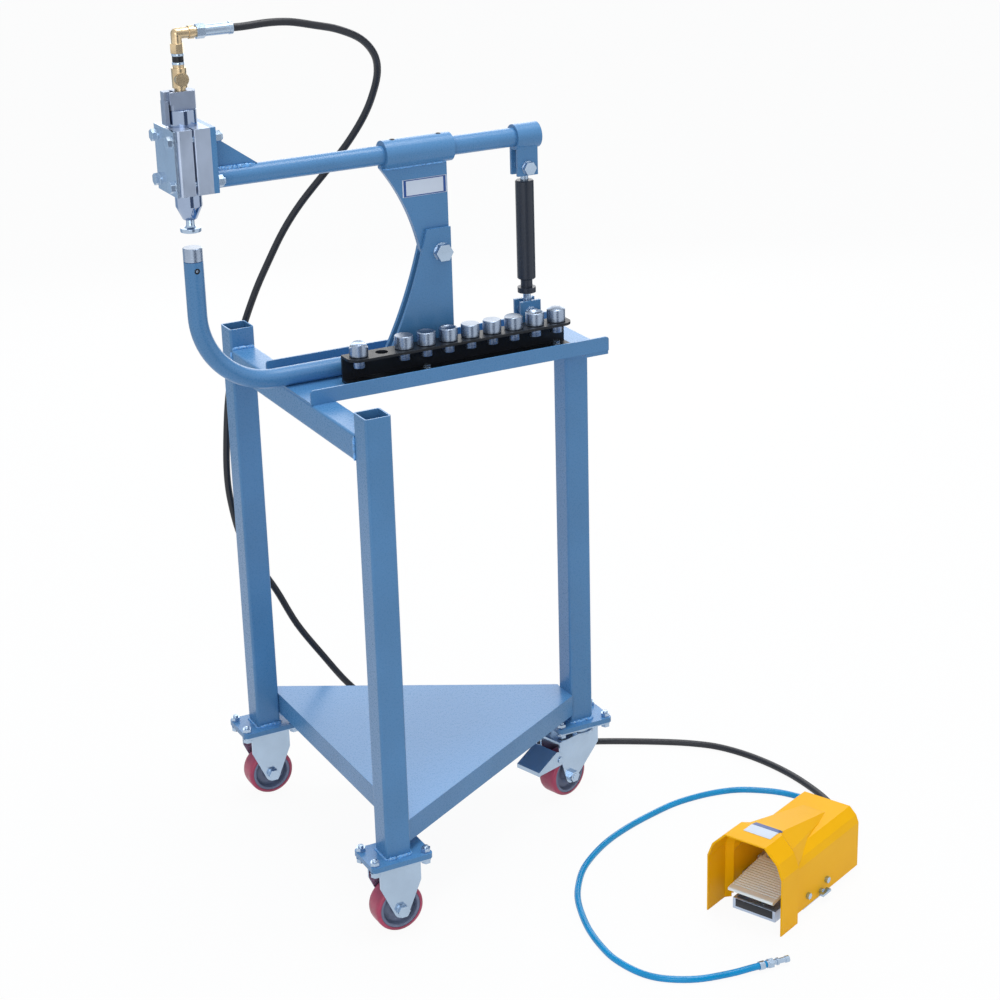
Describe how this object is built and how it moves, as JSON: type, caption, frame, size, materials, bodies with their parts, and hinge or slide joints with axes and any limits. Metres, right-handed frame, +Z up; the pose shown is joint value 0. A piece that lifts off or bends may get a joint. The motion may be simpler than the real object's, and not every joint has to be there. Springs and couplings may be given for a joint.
{
  "type": "pneumatic planishing hammer on a stand",
  "caption": "Air-powered planishing hammer: a hinged arm holds the hammer over an anvil on a three-legged wheeled stand, with an anvil rack and a guarded foot valve.",
  "frame": {"origin": "on the floor under the middle of the machine and its foot valve, hoses left out", "axes": "+Z up, +X from the hammer to the right leg along the arm, -Y towards the operator"},
  "size_m": [0.9573, 0.9291, 1.3114],
  "materials": {
    "blue_paint": "satin",
    "yellow_paint": "satin",
    "black_paint": "satin",
    "zinc_plate": "bright zinc",
    "bare_steel": "turned",
    "hammer_chrome": "polished",
    "cast_alloy": "matt",
    "brass": "satin",
    "red_tread": "matt",
    "black_rubber": "matt",
    "blue_hose": "glossy",
    "black_sleeve": "satin"
  },
  "bodies": {
    "stand": {"leg_back": "blue_paint", "leg_front": "blue_paint", "leg_right": "blue_paint", "crossbeam": "blue_paint", "tray": "blue_paint", "shelf": "blue_paint", "anvil_tube": "blue_paint", "pivot_cheeks": "blue_paint", "pivot_bolts": "zinc_plate", "anvil_rack": "black_paint", "rack_bolts": "zinc_plate", "working_anvil": "bare_steel", "fixed_forks": "zinc_plate", "caster_bolts": "zinc_plate", "swivel_plate": "zinc_plate", "valve_base": "cast_alloy", "valve_body": "zinc_plate", "foot_guard": "yellow_paint", "guard_screws": "zinc_plate", "treadle_spring": "bare_steel", "black_hose": "black_rubber", "blue_hose": "blue_hose", "air_nipple": "zinc_plate"},
    "arm": {"arm_tube": "blue_paint", "arm_sleeve": "blue_paint", "arm_bolts": "zinc_plate", "rear_collar": "blue_paint", "flange_plate": "blue_paint", "clamp_inner": "cast_alloy", "clamp_outer": "cast_alloy", "clamp_plate": "zinc_plate", "hammer_barrel": "hammer_chrome", "hammer_head": "bare_steel", "air_regulator": "brass", "brass_elbow": "brass", "hose_end": "zinc_plate"},
    "throttle_lever": {"throttle_lever": "bare_steel"},
    "piston": {"piston": "bare_steel"},
    "upper_die": {"upper_die": "zinc_plate"},
    "strut_lower": {"strut_lower_eye": "zinc_plate"},
    "strut_ring": {"strut_ring": "black_sleeve"},
    "strut_sleeve": {"strut_sleeve": "black_sleeve"},
    "strut_upper": {"strut_upper_eye": "zinc_plate"},
    "wheel_back": {"wheel_back": "red_tread"},
    "wheel_front": {"wheel_front": "red_tread"},
    "swivel_fork": {"swivel_fork": "zinc_plate"},
    "wheel_right": {"wheel_right": "red_tread"},
    "brake_lever": {"brake_lever": "zinc_plate"},
    "treadle": {"treadle": "cast_alloy"},
    "anvil_saddle": {"anvil_saddle": "bare_steel"},
    "anvil_flat_a": {"anvil_flat_a": "bare_steel"},
    "anvil_hollow_a": {"anvil_hollow_a": "bare_steel"},
    "anvil_hollow_b": {"anvil_hollow_b": "bare_steel"},
    "anvil_flat_b": {"anvil_flat_b": "bare_steel"},
    "anvil_flat_c": {"anvil_flat_c": "bare_steel"},
    "anvil_groove": {"anvil_groove": "bare_steel"},
    "anvil_cup": {"anvil_cup": "bare_steel"},
    "anvil_dome": {"anvil_dome": "bare_steel"}
  },
  "joints": [
    {"name": "arm_tilt", "type": "hinge", "parent": "stand", "child": "arm", "pos_m": [-0.015, 0.155, 0.943], "axis": [0, 1, 0], "range_deg": [-3, 5], "deforming": ["black_hose"]},
    {"name": "strut_tilt", "type": "hinge", "parent": "stand", "child": "strut_lower", "pos_m": [0.132, 0.155, 0.825], "axis": [0, 1, 0], "range_deg": [-2, 3]},
    {"name": "strut_extend", "type": "slide", "parent": "strut_lower", "child": "strut_upper", "axis": [0, 0, 1], "range_m": [-0.014, 0.009]},
    {"name": "ring_travel", "type": "slide", "parent": "strut_lower", "child": "strut_ring", "axis": [0, 0, 1], "range_m": [-0.007, 0.005]},
    {"name": "sleeve_turn", "type": "hinge", "parent": "strut_ring", "child": "strut_sleeve", "pos_m": [0.132, 0.155, 0.925], "axis": [0, 0, 1], "range_deg": [-750, 1200]},
    {"name": "die_stroke", "type": "slide", "parent": "arm", "child": "upper_die", "axis": [0, 0, 1], "range_m": [0, 0.008]},
    {"name": "piston_stroke", "type": "slide", "parent": "arm", "child": "piston", "axis": [0, 0, 1], "range_m": [0, 0.024]},
    {"name": "throttle_swing", "type": "hinge", "parent": "arm", "child": "throttle_lever", "pos_m": [-0.415, 0.155, 1.216], "axis": [0, 1, 0], "range_deg": [0, 12]},
    {"name": "wheel_back_roll", "type": "hinge", "parent": "stand", "child": "wheel_back", "pos_m": [-0.252, 0.388, 0.038], "axis": [0, 1, 0], "continuous": true},
    {"name": "wheel_front_roll", "type": "hinge", "parent": "stand", "child": "wheel_front", "pos_m": [-0.252, -0.108, 0.038], "axis": [0, 1, 0], "continuous": true},
    {"name": "caster_swivel", "type": "hinge", "parent": "stand", "child": "swivel_fork", "pos_m": [0.198, 0.14, 0.1], "axis": [0, 0, 1], "continuous": true},
    {"name": "wheel_right_roll", "type": "hinge", "parent": "swivel_fork", "child": "wheel_right", "pos_m": [0.16453, 0.12977, 0.038], "axis": [0.2924, -0.9563, 0], "continuous": true},
    {"name": "brake_press", "type": "hinge", "parent": "swivel_fork", "child": "brake_lever", "pos_m": [0.1368, 0.12129, 0.078], "axis": [0.2924, -0.9563, 0], "range_deg": [0, 8]},
    {"name": "treadle_press", "type": "hinge", "parent": "stand", "child": "treadle", "pos_m": [0.3038, -0.31501, 0.04], "axis": [-0.4067, 0.9135, 0], "range_deg": [-5.5, 0], "stiffness_Nm_per_rad": 25, "springref_deg": 2.86, "deforming": ["treadle_spring"]},
    {"name": "anvil_saddle_lift", "type": "slide", "parent": "stand", "child": "anvil_saddle", "axis": [0, 0, 1], "range_m": [0, 0.045]},
    {"name": "anvil_flat_a_lift", "type": "slide", "parent": "stand", "child": "anvil_flat_a", "axis": [0, 0, 1], "range_m": [0, 0.045]},
    {"name": "anvil_hollow_a_lift", "type": "slide", "parent": "stand", "child": "anvil_hollow_a", "axis": [0, 0, 1], "range_m": [0, 0.045]},
    {"name": "anvil_hollow_b_lift", "type": "slide", "parent": "stand", "child": "anvil_hollow_b", "axis": [0, 0, 1], "range_m": [0, 0.045]},
    {"name": "anvil_flat_b_lift", "type": "slide", "parent": "stand", "child": "anvil_flat_b", "axis": [0, 0, 1], "range_m": [0, 0.045]},
    {"name": "anvil_flat_c_lift", "type": "slide", "parent": "stand", "child": "anvil_flat_c", "axis": [0, 0, 1], "range_m": [0, 0.045]},
    {"name": "anvil_groove_lift", "type": "slide", "parent": "stand", "child": "anvil_groove", "axis": [0, 0, 1], "range_m": [0, 0.045]},
    {"name": "anvil_cup_lift", "type": "slide", "parent": "stand", "child": "anvil_cup", "axis": [0, 0, 1], "range_m": [0, 0.045]},
    {"name": "anvil_dome_lift", "type": "slide", "parent": "stand", "child": "anvil_dome", "axis": [0, 0, 1], "range_m": [0, 0.045]}
  ],
  "couplings": [
    {"joint": "strut_tilt", "follows": "arm_tilt", "ratio": 0.475},
    {"joint": "strut_extend", "follows": "arm_tilt", "m_per_rad": -0.1475},
    {"joint": "ring_travel", "follows": "arm_tilt", "m_per_rad": -0.07375},
    {"joint": "sleeve_turn", "follows": "arm_tilt", "ratio": 231.7},
    {"joint": "piston_stroke", "follows": "die_stroke", "ratio": 3}
  ]
}
